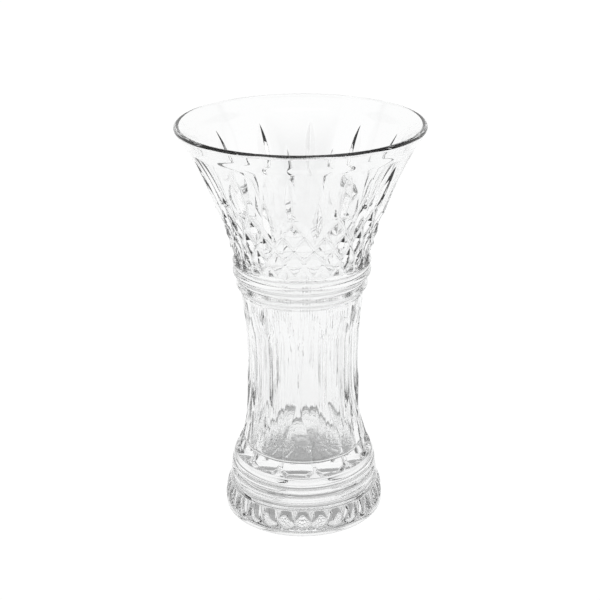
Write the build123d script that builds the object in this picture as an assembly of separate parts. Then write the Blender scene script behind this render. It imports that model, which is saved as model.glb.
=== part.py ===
from build123d import *
import os
from math import cos, radians, sin, sqrt

# Cut crystal vase, millimetres. +Z is up and the origin is the centre of the face that it stands on.
# The vase is one piece of glass. Level planes divide it into zones, and the zones meet face to face.

# Levels of the zone planes and of the top
HEIGHT = 300.0
FOOT_TOP = 26.0
STEP_TOP = 45.0
BASE_TOP = 72.0
COLUMN_TOP = 175.0
COLLAR_TOP = 199.0
DIAMOND_TOP = 247.0
LEAF_TOP = 291.0

# Column: its outline is one long arc up to the waist and a flatter one above it
WAIST_RADIUS = 41.9
WAIST_LEVEL = 120.0
LOWER_SWEEP = 280.0
UPPER_SWEEP = 480.0

# Bowl: its outline is one arc that opens out towards the rim
BOWL_SWEEP = 350.0
BOWL_CENTRE = (392.3, 123.5)

# Foot, and the two rolls and plain band above it
FOOT_RADIUS = 60.5
GADROON_LEVELS = (6.0, 20.0)
SHOULDER_RADIUS = 57.4
COVE_RADIUS = 53.9
ROLL_LEVELS = (FOOT_TOP, 32.2, 37.9)
ROLL_PROUD = (2.0, 1.3)
BAND_STEP = 0.8
CURVE_PROUD = 0.9
RECESS_RADIUS = 51.0
RECESS_DEPTH = 4.0

# Collar: two rings stand out between plain bands
RING_LEVELS = ((177.8, 183.6), (188.0, 193.9))
RING_PROUD = 1.9

# Hollow inside
BOWL_WALL = 5.2
COLUMN_WALL = 7.2
FLOOR_LEVEL = 50.0
FLOOR_CORNER = 5.0
LIP_ROUND = 2.0

# Cuts repeat round the axis. The first sector's direction is measured from +X.
SECTORS = 12
PITCH = 360.0 / SECTORS
FIRST_SECTOR = -94.5
GADROONS = 30
FIRST_GADROON = -95.7

# The turned surfaces close on themselves in this direction, along no cut
SEAM = 6.0

# Grooves are (depth, half width)
GADROON_GROOVE = (1.6, 2.6)
LATTICE_GROOVE = (1.8, 3.2)

# Broad panels stand above the foot. Pointed flutes between them run up to the collar.
PANEL_WIDTH = 25.2
PANEL_DEPTH = 2.4
PANEL_SILL = 0.8
PANEL_TOP = 146.0
PANEL_CORNER = 4.0
FLUTE_LEVELS = (50.0, 166.0)
FLUTE_CUT = (3.0, 10.8)

# Bowl: a lattice of grooves leaves diamonds, and pointed leaves stand above it
LATTICE_ROWS = 2
GROOVE_SPAN = 0.5
TALL_LEAF = (DIAMOND_TOP, 281.0)
SHORT_LEAF = (226.0, 264.0)
LEAF_CUT = (2.0, 3.8)


def column_radius(level):
    """Outer radius of the column before it is cut."""
    sweep = LOWER_SWEEP if level < WAIST_LEVEL else UPPER_SWEEP
    return WAIST_RADIUS + sweep - sqrt(sweep**2 - (level - WAIST_LEVEL) ** 2)


def bowl_radius(level):
    """Outer radius of the bowl before it is cut."""
    centre_radius, centre_level = BOWL_CENTRE
    return centre_radius - sqrt(BOWL_SWEEP**2 - (level - centre_level) ** 2)


def outline_arc(radius_at, low, high, inset=0.0):
    """Arc of the half outline between two levels, set in towards the axis."""
    levels = (low, (low + high) / 2, high)
    return ThreePointArc(*[(radius_at(level) - inset, level) for level in levels])


def turned(edges):
    """Solid turned about the axis. Its half outline runs upwards and is closed along the axis."""
    start = edges[0] @ 0
    end = edges[-1] @ 1
    closing = Polyline(end, (0, end.Y), (0, start.Y), start)
    section = make_face(Plane.XZ * (Curve() + edges + closing))
    return revolve(Rot(0, 0, SEAM) * section, Axis.Z)


def round_the_axis(cutters, count, first):
    """Copies of cutters that face +X, evenly spaced round the axis."""
    turns = [Rot(0, 0, first + 360.0 * i / count) for i in range(count)]
    return [turn * cutter for turn in turns for cutter in cutters]


def on_surface(radius, angle, level):
    return Vector(radius * cos(radians(angle)), radius * sin(radians(angle)), level)


def groove(start, end, depth, half_width):
    """V-shaped bar that cuts a groove along the line from start to end."""
    outward = Vector(start.X + end.X, start.Y + end.Y, 0)
    across = Plane(origin=start, x_dir=outward, z_dir=end - start)
    sides = [(depth, side * 2 * half_width) for side in (-1, 1)]
    section = Polygon((-depth, 0), *sides, align=None)
    return extrude(across * section, (end - start).length)


def wheel(radius_at, levels, depth, half_width):
    """Edge of a cutting wheel, pressed into the outline between two levels to leave a pointed cut."""
    low, high = [Vector(radius_at(level), 0, level) for level in levels]
    chord = high - low
    outward = Vector(chord.Z, 0, -chord.X).normalized()
    middle_level = sum(levels) / 2
    deepest = Vector(radius_at(middle_level), 0, middle_level) - outward * depth
    drop = ((low + high) * 0.5 - deepest).dot(outward)
    radius = (chord.length**2 / 4 + drop**2) / (2 * drop)
    centre = deepest + outward * radius
    inward = outward * -1
    across = Plane(origin=centre, x_dir=inward, z_dir=inward.cross(Vector(0, 1, 0)))
    sides = [(radius - 2 * depth, side * 2 * half_width) for side in (-1, 1)]
    section = Polygon((radius, 0), *sides, align=None)
    return revolve(across * section, Axis(centre, (0, 1, 0)))


def cavity():
    """Everything inside the glass, from the solid base to above the rim."""
    lower = outline_arc(column_radius, FLOOR_LEVEL + FLOOR_CORNER, WAIST_LEVEL, COLUMN_WALL)
    upper = outline_arc(column_radius, WAIST_LEVEL, COLUMN_TOP, COLUMN_WALL)
    mouth = outline_arc(bowl_radius, COLLAR_TOP, HEIGHT, BOWL_WALL)
    wall_start = lower @ 0
    corner = RadiusArc((wall_start.X - FLOOR_CORNER, FLOOR_LEVEL), wall_start, -FLOOR_CORNER)
    neck = Line(upper @ 1, mouth @ 0)
    above = Line(mouth @ 1, mouth @ 1 + Vector(0, BOWL_WALL))
    return turned([corner, lower, upper, neck, mouth, above])


def foot():
    """Gadrooned foot under a cove. It stands on a ring round a shallow recess."""
    low, high = GADROON_LEVELS
    ring = Line((FOOT_RADIUS, 0), (FOOT_RADIUS, low))
    belly_radius = (FOOT_RADIUS + SHOULDER_RADIUS) / 2 + CURVE_PROUD
    belly = ThreePointArc(ring @ 1, (belly_radius, (low + high) / 2), (SHOULDER_RADIUS, high))
    cove_radius = (SHOULDER_RADIUS + COVE_RADIUS) / 2 - CURVE_PROUD
    cove = ThreePointArc(belly @ 1, (cove_radius, (high + FOOT_TOP) / 2), (COVE_RADIUS, FOOT_TOP))
    recess = Pos(0, 0, RECESS_DEPTH / 2) * Cone(RECESS_RADIUS, RECESS_RADIUS - RECESS_DEPTH, RECESS_DEPTH)
    cutter = groove(on_surface(FOOT_RADIUS, 0, low), on_surface(SHOULDER_RADIUS, 0, high), *GADROON_GROOVE)
    return turned([ring, belly, cove]) - recess - round_the_axis([cutter], GADROONS, FIRST_GADROON)


def foot_step():
    """Two rolls, and the plain band that rises from them to the column."""
    outline = []
    for proud, low, high in zip(ROLL_PROUD, ROLL_LEVELS, ROLL_LEVELS[1:]):
        middle = (COVE_RADIUS + proud, (low + high) / 2)
        outline.append(ThreePointArc((COVE_RADIUS, low), middle, (COVE_RADIUS, high)))
    top = outline[-1] @ 1
    ledge = Line(top, top + Vector(BAND_STEP / 2, BAND_STEP))
    band = Line(ledge @ 1, (column_radius(STEP_TOP), STEP_TOP))
    return turned(outline + [ledge, band])


def panel_cutter():
    """Removes one broad flat panel, square at its sill and running out towards the waist."""
    sill = STEP_TOP + PANEL_SILL
    depths = {sill: PANEL_DEPTH, (sill + PANEL_TOP) / 2: PANEL_DEPTH, PANEL_TOP: 0}
    inside = ThreePointArc(*[(column_radius(level) - depth, level) for level, depth in depths.items()])
    reach = 2 * FOOT_RADIUS
    rest = Polyline(inside @ 1, (reach, PANEL_TOP), (reach, sill), inside @ 0)
    cutter = extrude(make_face(Plane.XZ * (Curve() + [inside, rest])), PANEL_WIDTH / 2, both=True)
    corners = cutter.edges().filter_by(Axis.X).group_by(Axis.Z)[0]
    return fillet(corners, PANEL_CORNER)


def column_cutters():
    """Broad panels and the pointed flutes between them, all round the column."""
    flute = wheel(column_radius, FLUTE_LEVELS, *FLUTE_CUT)
    panels = round_the_axis([panel_cutter()], SECTORS, FIRST_SECTOR)
    return panels + round_the_axis([flute], SECTORS, FIRST_SECTOR + PITCH / 2)


def column_base():
    """Thick solid base of the column, with the rounded floor of the hollow in its top."""
    outline = outline_arc(column_radius, STEP_TOP, BASE_TOP)
    return turned([outline]) - cavity() - column_cutters()


def column():
    """Hollow waisted wall of the column."""
    lower = outline_arc(column_radius, BASE_TOP, WAIST_LEVEL)
    upper = outline_arc(column_radius, WAIST_LEVEL, COLUMN_TOP)
    return turned([lower, upper]) - cavity() - column_cutters()


def collar_point(level):
    """Point of the collar's outline between its rings, on the line from the column to the bowl."""
    share = (level - COLUMN_TOP) / (COLLAR_TOP - COLUMN_TOP)
    radius = column_radius(COLUMN_TOP) * (1 - share) + bowl_radius(COLLAR_TOP) * share
    return Vector(radius, level)


def collar():
    """Rounded rings between the column and the bowl."""
    outline = []
    reached = COLUMN_TOP
    for low, high in RING_LEVELS:
        outline.append(Line(collar_point(reached), collar_point(low)))
        crest = collar_point((low + high) / 2) + Vector(RING_PROUD, 0)
        outline.append(ThreePointArc(collar_point(low), crest, collar_point(high)))
        reached = high
    outline.append(Line(collar_point(reached), collar_point(COLLAR_TOP)))
    return turned(outline) - cavity()


def lattice_line(side, first_row, first_turn):
    """Grooves end to end along one line of the lattice, from its top down to the collar."""
    row_height = (DIAMOND_TOP - COLLAR_TOP) / LATTICE_ROWS
    spans = round((LATTICE_ROWS - first_row) / GROOVE_SPAN)
    rows = [i * GROOVE_SPAN for i in range(spans + 1)]
    points = []
    for row in rows:
        level = DIAMOND_TOP - (first_row + row) * row_height
        points.append(on_surface(bowl_radius(level), side * (first_turn + row * PITCH / 2), level))
    return [groove(low, high, *LATTICE_GROOVE) for low, high in zip(points, points[1:])]


def bowl_cutters():
    """Lattice grooves and leaves, all round the bowl."""
    cutters = [wheel(bowl_radius, TALL_LEAF, *LEAF_CUT)]
    cutters.append(Rot(0, 0, PITCH / 2) * wheel(bowl_radius, SHORT_LEAF, *LEAF_CUT))
    for side in (-1, 1):
        cutters += lattice_line(side, 0, 0)
        cutters += lattice_line(side, GROOVE_SPAN, -PITCH / 4)
    return round_the_axis(cutters, SECTORS, FIRST_SECTOR)


def diamond_band():
    """Lower part of the bowl, where crossing grooves leave diamonds."""
    return turned([outline_arc(bowl_radius, COLLAR_TOP, DIAMOND_TOP)]) - cavity() - bowl_cutters()


def leaf_band():
    """Upper part of the bowl, where the leaves stand above the diamonds."""
    return turned([outline_arc(bowl_radius, DIAMOND_TOP, LEAF_TOP)]) - cavity() - bowl_cutters()


def rim():
    """Plain band below the rounded lip."""
    blank = turned([outline_arc(bowl_radius, LEAF_TOP, HEIGHT)]) - cavity()
    return fillet(blank.edges().group_by(Axis.Z)[-1], LIP_ROUND)


os.makedirs("parts", exist_ok=True)
for zone in (foot, foot_step, column_base, column, collar, diamond_band, leaf_band, rim):
    export_step(zone(), f"parts/{zone.__name__}.step")
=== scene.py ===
import math

import bpy
import numpy as np
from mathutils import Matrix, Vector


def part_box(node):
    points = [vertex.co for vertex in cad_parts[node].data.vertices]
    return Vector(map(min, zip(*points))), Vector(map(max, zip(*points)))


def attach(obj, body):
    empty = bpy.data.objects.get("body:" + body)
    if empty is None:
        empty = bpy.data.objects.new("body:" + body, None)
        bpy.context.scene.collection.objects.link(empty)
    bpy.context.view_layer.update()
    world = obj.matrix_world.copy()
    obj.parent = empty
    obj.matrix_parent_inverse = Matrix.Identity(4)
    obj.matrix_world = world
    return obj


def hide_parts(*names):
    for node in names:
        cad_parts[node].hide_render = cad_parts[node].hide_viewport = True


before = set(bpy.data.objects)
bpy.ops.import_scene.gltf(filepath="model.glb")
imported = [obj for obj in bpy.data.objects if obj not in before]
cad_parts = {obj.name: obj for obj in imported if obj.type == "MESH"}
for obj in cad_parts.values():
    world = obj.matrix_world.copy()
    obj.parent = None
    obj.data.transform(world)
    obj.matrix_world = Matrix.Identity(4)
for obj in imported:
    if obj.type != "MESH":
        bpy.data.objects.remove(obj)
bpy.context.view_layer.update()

# Lengths are in millimetres until a mesh is made, and angles of the pattern are in degrees.
MM = 0.001


def top(node):
    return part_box(node)[1].z / MM


def widest(node):
    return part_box(node)[1].y / MM


# Levels of the zones and the largest radius of the foot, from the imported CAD
HEIGHT = top("rim")
FOOT_TOP = top("foot")
STEP_TOP = top("foot_step")
COLUMN_TOP = top("column")
COLLAR_TOP = top("collar")
DIAMOND_TOP = top("diamond_band")
FOOT_RADIUS = widest("foot")

# Outline of the foot and of the rolls and plain band above it
MIDDLE_RADIUS = 0.02
RECESS_DEPTH = 4.0
RECESS_EDGE = (47.0, 2.2)
RING_INNER, RING_OUTER = 51.5, 59.5
HEEL_LEVEL = 1.0
GADROON_LOW, GADROON_HIGH = 6.0, 20.0
SHOULDER_RADIUS = 57.4
COVE_RADIUS = 53.9
LOWER_ROLL_TOP, UPPER_ROLL_TOP, BAND_LOW = 32.2, 37.9, 38.7
UPPER_ROLL_RADIUS = 53.6

# Outline of the column and the bowl
WAIST_RADIUS, WAIST_LEVEL = 41.9, 120.0
LOWER_SWEEP, UPPER_SWEEP = 280.0, 480.0
BOWL_SWEEP, BOWL_CENTRE_RADIUS, BOWL_CENTRE_LEVEL = 350.0, 392.3, 123.5

# Collar bands: level of the upper edge, and how far the middle of the band swells out
COLLAR_BANDS = ((177.8, -0.8), (183.6, 1.8), (188.0, -1.0), (193.9, 1.8), (COLLAR_TOP, -0.8))
BAND_ROWS = 18

# Lip: a round tangent to the leaning wall, set in a little so that it stays inside the CAD's rim
LIP_ROUND = 2.0
LIP_LEAN = math.radians(30)
LIP_TRIM, LIP_TRIM_SPAN = 0.05, (280.0, 297.0)
LIP_ROWS = 25

# Hollow inside. The wall is thinnest at the lip, and each amount is added below its span of levels.
LIP_WALL = 4.5
BOWL_WALL_MORE, BOWL_WALL_SPAN = 0.5, (262.0, 292.0)
COLUMN_WALL_MORE, COLUMN_WALL_SPAN = 2.6, (185.0, 265.0)
COLUMN_TO_BOWL = (165.0, 210.0)
COLUMN_ARC_TOP, BOWL_ARC_LOW = 190.0, 150.0
FLOOR_LEVEL = 50.0
FLOOR_CORNER = 5.0

# Pattern: every cut repeats once in a sector
SECTORS = 12
PITCH = 360.0 / SECTORS
HALF = PITCH / 2
FIRST_SECTOR = -94.5
GADROONS = 30
GADROON_PITCH = 360.0 / GADROONS
FIRST_GADROON = -95.7
GADROON_DEPTH = 3.4
COLUMNS = 960

# Lattice of crossing grooves, and the plain band under the lip, which stands proud of the cut part
GROOVE = 2.8
GROOVE_SLOPE = 0.40
GROOVE_LEAN = 0.857
GROOVE_FLOOR = 2.4
GROOVE_OVERRUN = 0.12
LATTICE_FADE = (-0.5, 2.5)
ROOF_SLOPE = 0.08
BAND_PROUD = 0.9
BAND_EDGE = (284.5, 291.6)
CUT_TOP = 292.0

# Pointed leaves: middle level, half length, half width, depth
TALL_LEAF = (262.0, 20.0, 4.3, 3.0)
SHORT_LEAF = (244.0, 20.0, 4.0, 3.0)

# Broad panels at the bottom of the column, and pointed flutes between them
PANEL_SILL = 45.2
PANEL_DEPTH = 3.4
PANEL_HALF_WIDTH = 12.9
PANEL_CORNER = 3.6
PANEL_BEVEL = 1.1
PANEL_FADE = (62.0, 112.0)
SILL_LEDGE = 0.02
FLUTE_LOW, FLUTE_FULL = 50.0, 100.0
FLUTE_START = (47.0, 52.0)
FLUTE_LOW_SHARE = 0.25
FLUTE_MEET, FLUTE_TOP = 146.5, 167.0
FLUTE_DEPTH = 4.2
FLUTE_RADIUS = 15.0
COLUMN_CUT_TOP = 170.0
# Rows are closer together at the sill and round the flutes' arches
SILL_DETAIL_TOP = 52.0
ARCH_LOW, ARCH_HIGH = 140.0, 168.0

# Soft waves that the mould and the cuts leave on the inside
COLUMN_RIPPLE, COLUMN_RIPPLE_SPAN = 0.6, ((62, 90), (160, 178))
BOWL_RIPPLE, BOWL_RIPPLE_SPAN = 0.4, ((226, 246), (276, 294))
FINE_RIPPLE, FINE_WAVES, FINE_SPAN = 0.02, 132, ((58, 75), (180, 215))
COARSE_RIPPLE, COARSE_WAVES, COARSE_SPAN = 0.05, 48, ((52, 62), (90, 165))
FLOOR_RIPPLE, FLOOR_WAVES = 0.25, 24
INSIDE_RIPPLE_RADIUS = 25.0

# Glass. Noise scales are per metre, and heights of the unevenness are in metres.
GLASS_TINT = (0.952, 0.955, 0.955, 1)
GLASS_IOR = 1.54
POLISH_SCALE, POLISH_HEIGHT = 140.0, 0.00003
WEAR_SCALE, WEAR_ROUGHNESS = 60.0, 0.012
STREAK_SCALE, STREAK_STRETCH, STREAK_HEIGHT = 420.0, 0.012, 0.0004
STREAK_START, STREAK_END = (0.050, 0.070), (0.150, 0.176)

# Camera and studio, in metres
CAMERA_LENS, CAMERA_SENSOR, CAMERA_SHIFT = 76.1, 36.0, -0.0492
CAMERA_PLACE = (0.0201, -0.8667, 0.5202)
CAMERA_DOWN = 22.256
WALL_LIGHT, WALL_TOP_LIGHT = 0.98, 0.40
LAMP_LIGHT, OVERHEAD_LIGHT, FRONT_LIGHT = 1.10, 1.6, 0.10
# The floor glows evenly, and more dimly under the foot: that dimmer glow is a painted shadow, not one that the
# light casts
PAINTED_SHADOW_GLOW, FLOOR_LIGHT = 0.30, 1.03
# The lights fade between these parts of a unit direction: along Y, sideways, and upwards
BEHIND = (-0.05, 0.15)
SIDEWAYS = (0.45, 0.60)
SIDE_LAMP, HIGH_LAMP = (0.15, 0.35), (0.50, 0.65)
WALL_TOP, OVERHEAD = (0.45, 0.65), (0.82, 0.92)
FLOOR_SIZE, FLOOR_CORNERS, FLOOR_DROP = 4.0, 64, 0.0005
# Painted shadow under the foot: it fades out between these distances from the middle
FOOT_SHADE = (0.040, 0.060)


def smooth(x, low, high):
    """0 below low, 1 above high, and smooth between them."""
    t = np.clip((np.asarray(x, float) - low) / (high - low), 0, 1)
    return t * t * (3 - 2 * t)


def within(x, rise, fall):
    """1 between the rise and the fall, and 0 beyond them."""
    return smooth(x, *rise) * (1 - smooth(x, *fall))


def column_radius(z):
    sweep = np.where(z < WAIST_LEVEL, LOWER_SWEEP, UPPER_SWEEP)
    return WAIST_RADIUS + sweep - np.sqrt(sweep**2 - (z - WAIST_LEVEL) ** 2)


def bowl_radius(z):
    return BOWL_CENTRE_RADIUS - np.sqrt(BOWL_SWEEP**2 - (z - BOWL_CENTRE_LEVEL) ** 2)


def collar_radius(z):
    """Radius of the straight line that the collar's bands swell from."""
    share = (z - COLUMN_TOP) / (COLLAR_TOP - COLUMN_TOP)
    return column_radius(COLUMN_TOP) * (1 - share) + bowl_radius(COLLAR_TOP) * share


def spans(*stops):
    """Values through stops given as value, step, value, step, ..., value."""
    out = []
    for low, step, high in zip(stops[0::2], stops[1::2], stops[2::2]):
        count = max(1, round(abs(high - low) / step))
        out += list(np.linspace(low, high, count, endpoint=False))
    return np.array(out + [stops[-1]])


def bend(start, middle, end, count):
    """Rows (radius, level) along a quadratic bend, without its end."""
    t = np.linspace(0, 1, count, endpoint=False)[:, None]
    start, middle, end = (np.array(p, float) for p in (start, middle, end))
    control = 2 * middle - (start + end) / 2
    return (1 - t) ** 2 * start + 2 * t * (1 - t) * control + t**2 * end


def chain(start, *bends):
    """Rows along bends that follow each other, each given as its middle, its end and its count of rows."""
    rows = []
    for middle, end, count in bends:
        rows.append(bend(start, middle, end, count))
        start = end
    return np.concatenate(rows)


def foot_outline():
    """Rows from the middle of the underside to the top of the plain band."""
    return chain(
        (1.0, RECESS_DEPTH),
        ((30.0, 3.6), RECESS_EDGE, 24),
        ((49.8, 1.2), (RING_INNER, 0.0), 8),
        (((RING_INNER + RING_OUTER) / 2, 0.0), (RING_OUTER, 0.0), 8),
        ((60.2, 0.3), (FOOT_RADIUS, HEEL_LEVEL), 6),
        ((FOOT_RADIUS, (HEEL_LEVEL + GADROON_LOW) / 2), (FOOT_RADIUS, GADROON_LOW), 10),
        ((59.85, 13.0), (SHOULDER_RADIUS, GADROON_HIGH), 36),
        ((54.6, 22.0), (COVE_RADIUS, FOOT_TOP), 18),
        ((55.9, 29.1), (COVE_RADIUS, LOWER_ROLL_TOP), 20),
        ((55.1, 35.1), (UPPER_ROLL_RADIUS, UPPER_ROLL_TOP), 18),
        ((53.8, 38.3), (COVE_RADIUS, BAND_LOW), 4),
        ((53.5, 42.0), (column_radius(STEP_TOP), STEP_TOP), 14),
    )


def collar_outline():
    """Rows of the collar's rings and plain bands."""
    low = (column_radius(COLUMN_TOP), COLUMN_TOP)
    start, bands = low, []
    for level, swell in COLLAR_BANDS:
        high = (collar_radius(level), level)
        middle = ((low[0] + high[0]) / 2 + swell, (low[1] + high[1]) / 2)
        bands.append((middle, high, BAND_ROWS))
        low = high
    return chain(start, *bands)


def outer_outline():
    """Rows (radius, level) from the middle of the underside to the lip."""
    ledge = PANEL_SILL + SILL_LEDGE
    low = (STEP_TOP, 0.1, PANEL_SILL, SILL_LEDGE, ledge, 0.25, SILL_DETAIL_TOP)
    z = spans(*low, 0.8, ARCH_LOW, 0.5, ARCH_HIGH, 0.8, COLUMN_TOP)[:-1]
    column = np.stack([column_radius(z), z], 1)
    lip_start = HEIGHT - LIP_ROUND * (1 + math.sin(LIP_LEAN))
    z = spans(COLLAR_TOP, 0.6, DIAMOND_TOP, 0.5, CUT_TOP, 0.9, lip_start)
    bowl = np.stack([bowl_radius(z) - LIP_TRIM * smooth(z, *LIP_TRIM_SPAN), z], 1)
    middle = np.array([[MIDDLE_RADIUS, RECESS_DEPTH]])
    return np.concatenate([middle, foot_outline(), column, collar_outline(), bowl])


def inner_outline(lip_start):
    """Rows (radius, level) over the lip and down inside to the middle of the floor."""
    turn = np.linspace(-LIP_LEAN, math.pi - LIP_LEAN, LIP_ROWS)
    centre = (lip_start[0] - LIP_ROUND * math.cos(turn[0]), HEIGHT - LIP_ROUND)
    lip = np.stack([centre[0] + LIP_ROUND * np.cos(turn), centre[1] + LIP_ROUND * np.sin(turn)], 1)[1:]
    z = spans(lip[-1, 1] - 1.0, 1.5, FLOOR_LEVEL + FLOOR_CORNER)
    wall = LIP_WALL + BOWL_WALL_MORE * (1 - smooth(z, *BOWL_WALL_SPAN))
    wall = wall + COLUMN_WALL_MORE * (1 - smooth(z, *COLUMN_WALL_SPAN))
    share = smooth(z, *COLUMN_TO_BOWL)
    column = column_radius(np.minimum(z, COLUMN_ARC_TOP))
    outside = column * (1 - share) + bowl_radius(np.maximum(z, BOWL_ARC_LOW)) * share
    side = np.stack([outside - wall, z], 1)
    t = np.radians(np.arange(5, 91, 5))
    corner_radius = side[-1, 0] - FLOOR_CORNER * (1 - np.cos(t))
    corner = np.stack([corner_radius, FLOOR_LEVEL + FLOOR_CORNER * (1 - np.sin(t))], 1)
    across = np.linspace(corner[-1, 0], MIDDLE_RADIUS, 12)[1:]
    floor = np.stack([across, np.full(len(across), FLOOR_LEVEL)], 1)
    return np.concatenate([lip, side, corner, floor])


def fold(angle, first, pitch):
    """Angle from the nearest repeat of a pattern, without its sign."""
    return np.abs((angle - first + pitch / 2) % pitch - pitch / 2)


def lattice_depth(u, z):
    """Depth of the crossing grooves and of the faintly roofed diamonds. u is the angle in half pitches."""
    row_height = (DIAMOND_TOP - COLLAR_TOP) / 2
    s = (DIAMOND_TOP - z) / row_height
    mm_per_u = bowl_radius(z) * math.radians(HALF) * GROOVE_LEAN
    depth = np.zeros_like(u)
    for side in (-1, 1):
        across = u - side * s
        from_long = np.abs((across + 1) % 2 - 1) * mm_per_u
        from_short = np.abs(across % 2 - 1) * mm_per_u
        depth = np.maximum(depth, np.where(s > -GROOVE_OVERRUN, GROOVE - GROOVE_SLOPE * from_long, 0))
        depth = np.maximum(depth, np.where(s > 0.5, GROOVE - GROOVE_SLOPE * from_short, 0))
    middle = (np.floor(u + s) - np.floor(u - s)) / 2
    roof = np.where(middle > 0.8, ROOF_SLOPE * np.abs(s - middle) * row_height, 0)
    fade = 1 - smooth(z - DIAMOND_TOP, *LATTICE_FADE)
    return np.minimum(np.maximum(depth, roof), GROOVE_FLOOR) * fade


def leaf_depth(offset, z, leaf):
    """Depth of a pointed leaf at a distance from its middle line."""
    middle, half_length, half_width, depth = leaf
    along = (z - middle) / half_length
    return np.where(np.abs(along) < 1, depth * (1 - along**2) - depth * np.abs(offset) / half_width, 0)


def bowl_depth(angle, z):
    u = ((angle - FIRST_SECTOR + HALF) % PITCH - HALF) / HALF
    mm_per_u = bowl_radius(z) * math.radians(HALF)
    tall = leaf_depth(u * mm_per_u, z, TALL_LEAF)
    short = leaf_depth((1 - np.abs(u)) * mm_per_u, z, SHORT_LEAF)
    band = BAND_PROUD * (1 - smooth(z, *BAND_EDGE))
    return band + np.maximum.reduce([lattice_depth(u, z), tall, short, np.zeros_like(u)])


def column_depth(angle, z):
    a = fold(angle, FIRST_SECTOR, PITCH)
    radius = column_radius(z)
    # Flat panels centred on each sector, square at the sill
    flat = radius - (radius - PANEL_DEPTH) / np.cos(np.radians(a))
    across = radius * np.sin(np.radians(a))
    corner = np.clip(PANEL_CORNER - (z - PANEL_SILL), 0, PANEL_CORNER)
    side_bevel = (PANEL_HALF_WIDTH - corner - across) * PANEL_BEVEL
    sill_bevel = (z - PANEL_SILL) / SILL_LEDGE * PANEL_DEPTH
    panel = np.minimum.reduce([flat, side_bevel, sill_bevel]) * (1 - smooth(z, *PANEL_FADE))
    # Concave flutes between them, which widen upwards until they meet and end as arches
    b = radius * np.sin(np.radians(HALF - a))
    ending = np.clip((FLUTE_TOP - z) / (FLUTE_TOP - FLUTE_MEET), 0, 1) ** 0.9
    low = np.clip((z - FLUTE_LOW) / (FLUTE_FULL - FLUTE_LOW), 0, 1)
    rising = FLUTE_LOW_SHARE + (1 - FLUTE_LOW_SHARE) * low
    flute = FLUTE_DEPTH * ending * rising * smooth(z, *FLUTE_START) - b**2 / (2 * FLUTE_RADIUS)
    return np.maximum.reduce([panel, flute, np.zeros_like(a)])


def gadroon_depth(angle, z):
    a = fold(angle, FIRST_GADROON, GADROON_PITCH) / (GADROON_PITCH / 2)
    rise = np.clip((z - GADROON_LOW) / (GADROON_HIGH - GADROON_LOW), 0, 1)
    envelope = np.sin(np.pi * np.clip(rise * 0.93 + 0.02, 0, 1)) ** 0.6
    return GADROON_DEPTH * envelope * (1 - np.sqrt(np.clip(1 - (1 - a) ** 2, 0, 1)))


def cut_depth(angle, radius, z):
    """How deep the outside is cut."""
    depth = np.zeros_like(angle)
    bowl = (z > COLLAR_TOP) & (z < CUT_TOP)
    depth[bowl] = bowl_depth(angle[bowl], z[bowl])
    column = (z > STEP_TOP) & (z < COLUMN_CUT_TOP)
    depth[column] = column_depth(angle[column], z[column])
    foot = (z > GADROON_LOW) & (z < GADROON_HIGH) & (radius > SHOULDER_RADIUS - 1.4)
    depth[foot] = gadroon_depth(angle[foot], z[foot])
    return depth


def ripple(angle, z):
    """The inside follows the cuts softly: how far it is pushed in."""
    u = (angle - FIRST_SECTOR) / HALF * math.pi
    column = within(z, *COLUMN_RIPPLE_SPAN) * -np.cos(u) * COLUMN_RIPPLE
    upper = within(z, *BOWL_RIPPLE_SPAN) * np.cos(u) * BOWL_RIPPLE
    turn = np.radians(angle)
    fine = within(z, *FINE_SPAN) * FINE_RIPPLE * np.cos(turn * FINE_WAVES)
    swaying = np.cos(turn * COARSE_WAVES + 2 * np.sin(turn * 5))
    coarse = within(z, *COARSE_SPAN) * COARSE_RIPPLE * swaying
    return column + upper + fine + coarse


def floor_ripple(turn, radius, z):
    """Height of the waves on the floor of the hollow."""
    on_floor = smooth(-z, -FLOOR_LEVEL - 0.6, -FLOOR_LEVEL)
    return FLOOR_RIPPLE * on_floor * smooth(radius, 6, 24) * np.cos(turn * FLOOR_WAVES)


def turned_mesh(name, rows, cut_rows):
    """Closed mesh turned from rows, with the cuts taken out of the first cut_rows of them."""
    angle = FIRST_SECTOR + np.arange(COLUMNS) * 360.0 / COLUMNS
    radius, a = np.meshgrid(rows[:, 0], angle, indexing="ij")
    z = np.repeat(rows[:, 1:2], COLUMNS, 1)
    turn = np.radians(a)
    inside = slice(cut_rows, None)
    radius[:cut_rows] -= cut_depth(a[:cut_rows], radius[:cut_rows], z[:cut_rows])
    radius[inside] -= ripple(a[inside], z[inside]) * (radius[inside] > INSIDE_RIPPLE_RADIUS)
    z[inside] += floor_ripple(turn[inside], radius[inside], z[inside])
    points = np.stack([radius * np.cos(turn), radius * np.sin(turn), z], -1).reshape(-1, 3) * MM
    i = np.arange(len(rows) - 1)[:, None] * COLUMNS
    j = np.arange(COLUMNS)[None, :]
    k = (j + 1) % COLUMNS
    faces = np.stack([i + j, i + k, i + COLUMNS + k, i + COLUMNS + j], -1).reshape(-1, 4).tolist()
    faces.append(list(range(COLUMNS))[::-1])
    faces.append(list(range((len(rows) - 1) * COLUMNS, len(rows) * COLUMNS)))
    mesh = bpy.data.meshes.new(name)
    mesh.from_pydata(points.tolist(), [], faces)
    mesh.polygons.foreach_set("use_smooth", np.ones(len(faces), bool))
    mesh.update()
    piece = bpy.data.objects.new(name, mesh)
    bpy.context.scene.collection.objects.link(piece)
    return piece


def math_node(tree, operation, value, other=None):
    """A math node on a socket, with a number or another socket as its second value."""
    node = tree.nodes.new("ShaderNodeMath")
    node.operation = operation
    tree.links.new(value, node.inputs[0])
    if isinstance(other, (int, float)):
        node.inputs[1].default_value = other
    elif other is not None:
        tree.links.new(other, node.inputs[1])
    return node.outputs[0]


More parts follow.
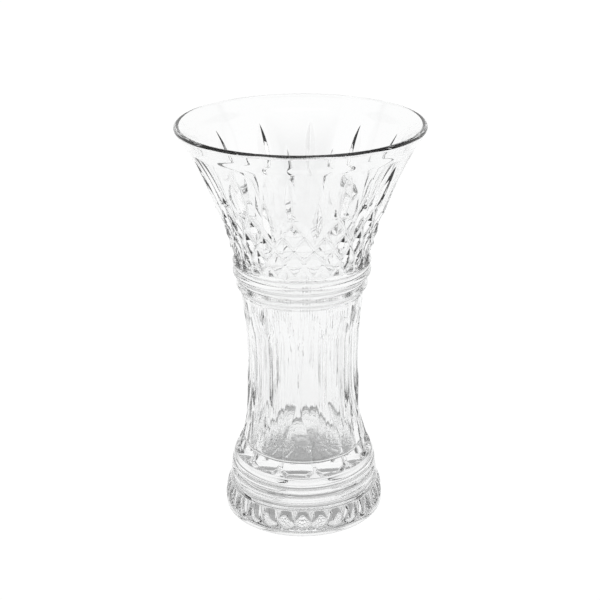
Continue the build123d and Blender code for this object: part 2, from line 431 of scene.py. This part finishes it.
def between(tree, value, start, end, low=0.0, high=1.0):
    """Smooth change from low, where value is start, to high, where it is end."""
    node = tree.nodes.new("ShaderNodeMapRange")
    node.interpolation_type = "SMOOTHSTEP"
    tree.links.new(value, node.inputs["Value"])
    for socket, number in (("From Min", start), ("From Max", end), ("To Min", low), ("To Max", high)):
        node.inputs[socket].default_value = number
    return node.outputs["Result"]


def axes_of(tree, vector):
    """The X, Y and Z sockets of a vector."""
    split = tree.nodes.new("ShaderNodeSeparateXYZ")
    tree.links.new(vector, split.inputs[0])
    return split.outputs


def noise(tree, vector, scale, detail):
    node = tree.nodes.new("ShaderNodeTexNoise")
    node.inputs["Scale"].default_value = scale
    node.inputs["Detail"].default_value = detail
    tree.links.new(vector, node.inputs["Vector"])
    return node.outputs[0]


def bump(tree, height, strength, distance):
    node = tree.nodes.new("ShaderNodeBump")
    node.inputs["Strength"].default_value = strength
    node.inputs["Distance"].default_value = distance
    tree.links.new(height, node.inputs["Height"])
    return node


def drawn_streaks(tree, where):
    """Height of the long upright streaks, which show in the column only."""
    pull = tree.nodes.new("ShaderNodeMapping")
    pull.inputs["Scale"].default_value = (1.0, 1.0, STREAK_STRETCH)
    tree.links.new(where, pull.inputs["Vector"])
    streaks = noise(tree, pull.outputs[0], STREAK_SCALE, 0.5)
    level = axes_of(tree, where)["Z"]
    rising = between(tree, level, *STREAK_START)
    ending = between(tree, level, *STREAK_END, 1.0, 0.0)
    return math_node(tree, "MULTIPLY", math_node(tree, "MULTIPLY", streaks, rising), ending)


def crystal():
    """Clear, very faintly grey glass with the soft unevenness that fire polishing leaves."""
    material = bpy.data.materials.new("crystal")
    material.use_nodes = True
    tree = material.node_tree
    shader = tree.nodes["Principled BSDF"]
    shader.inputs["Base Color"].default_value = GLASS_TINT
    shader.inputs["IOR"].default_value = GLASS_IOR
    shader.inputs["Transmission Weight"].default_value = 1.0
    where = tree.nodes.new("ShaderNodeTexCoord").outputs["Object"]
    polish = bump(tree, noise(tree, where, POLISH_SCALE, 2.0), 0.5, POLISH_HEIGHT)
    streaks = bump(tree, drawn_streaks(tree, where), 1.0, STREAK_HEIGHT)
    tree.links.new(polish.outputs["Normal"], streaks.inputs["Normal"])
    tree.links.new(streaks.outputs["Normal"], shader.inputs["Normal"])
    wear = between(tree, noise(tree, where, WEAR_SCALE, 2.0), 0.35, 0.75, 0.0, WEAR_ROUGHNESS)
    tree.links.new(wear, shader.inputs["Roughness"])
    return material


def camera():
    data = bpy.data.cameras.new("camera")
    data.sensor_width = CAMERA_SENSOR
    data.lens = CAMERA_LENS
    data.shift_x = CAMERA_SHIFT
    item = bpy.data.objects.new("camera", data)
    item.location = CAMERA_PLACE
    item.rotation_euler = (math.radians(90 - CAMERA_DOWN), 0, 0)
    bpy.context.scene.collection.objects.link(item)
    bpy.context.scene.camera = item


def room_light():
    """A pale wall behind, lamps high in front and at the sides, one overhead, and little light low in front."""
    world = bpy.data.worlds.new("studio")
    bpy.context.scene.world = world
    world.use_nodes = True
    tree = world.node_tree
    towards = axes_of(tree, tree.nodes.new("ShaderNodeTexCoord").outputs["Generated"])
    height = towards["Z"]
    behind = between(tree, towards["Y"], *BEHIND)
    before = between(tree, towards["Y"], *BEHIND, 1.0, 0.0)
    sideways = between(tree, math_node(tree, "ABSOLUTE", towards["X"]), *SIDEWAYS)
    side = math_node(tree, "MULTIPLY", sideways, between(tree, height, *SIDE_LAMP, FRONT_LIGHT, LAMP_LIGHT))
    high = between(tree, height, *HIGH_LAMP, FRONT_LIGHT, LAMP_LIGHT)
    front = math_node(tree, "MULTIPLY", before, math_node(tree, "MAXIMUM", side, high))
    wall = between(tree, height, *WALL_TOP, WALL_LIGHT, WALL_TOP_LIGHT)
    back = math_node(tree, "MULTIPLY", behind, wall)
    overhead = between(tree, height, *OVERHEAD, 0.0, OVERHEAD_LIGHT)
    strength = math_node(tree, "MAXIMUM", math_node(tree, "MAXIMUM", front, back), overhead)
    sky = tree.nodes["Background"]
    sky.inputs["Color"].default_value = (1, 1, 1, 1)
    tree.links.new(strength, sky.inputs["Strength"])


def floor_glow(tree):
    """Strength of the floor's glow, with a painted shadow where the foot stands."""
    distance = tree.nodes.new("ShaderNodeVectorMath")
    distance.operation = "LENGTH"
    tree.links.new(tree.nodes.new("ShaderNodeNewGeometry").outputs["Position"], distance.inputs[0])
    # The dimmer glow inside the foot's radius is a painted shadow
    return between(tree, distance.outputs["Value"], *FOOT_SHADE, PAINTED_SHADOW_GLOW, FLOOR_LIGHT)


def lit_floor():
    """A glowing white table top, evenly bright except for a painted shadow under the foot."""
    mesh = bpy.data.meshes.new("floor")
    turns = [2 * math.pi * k / FLOOR_CORNERS for k in range(FLOOR_CORNERS)]
    points = [(FLOOR_SIZE * math.cos(t), FLOOR_SIZE * math.sin(t), -FLOOR_DROP) for t in turns]
    mesh.from_pydata(points, [], [list(range(FLOOR_CORNERS))])
    floor = bpy.data.objects.new("floor", mesh)
    bpy.context.scene.collection.objects.link(floor)
    paint = bpy.data.materials.new("floor")
    paint.use_nodes = True
    tree = paint.node_tree
    tree.nodes.clear()
    glow = tree.nodes.new("ShaderNodeEmission")
    tree.links.new(floor_glow(tree), glow.inputs["Strength"])
    out = tree.nodes.new("ShaderNodeOutputMaterial")
    tree.links.new(glow.outputs[0], out.inputs["Surface"])
    mesh.materials.append(paint)


def glass_settings():
    """Let light pass through many glass faces, but stop weak inner reflections, which only pale the cuts."""
    bpy.context.scene.view_settings.view_transform = "Standard"
    cycles = bpy.context.scene.cycles
    cycles.max_bounces = 32
    cycles.transmission_bounces = 32
    cycles.glossy_bounces = 5


camera()
outer = outer_outline()
rows = np.concatenate([outer, inner_outline(outer[-1])])
vase = turned_mesh("vase_glass", rows, len(outer))
vase.data.materials.append(crystal())
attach(vase, "root")
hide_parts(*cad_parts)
room_light()
lit_floor()
glass_settings()
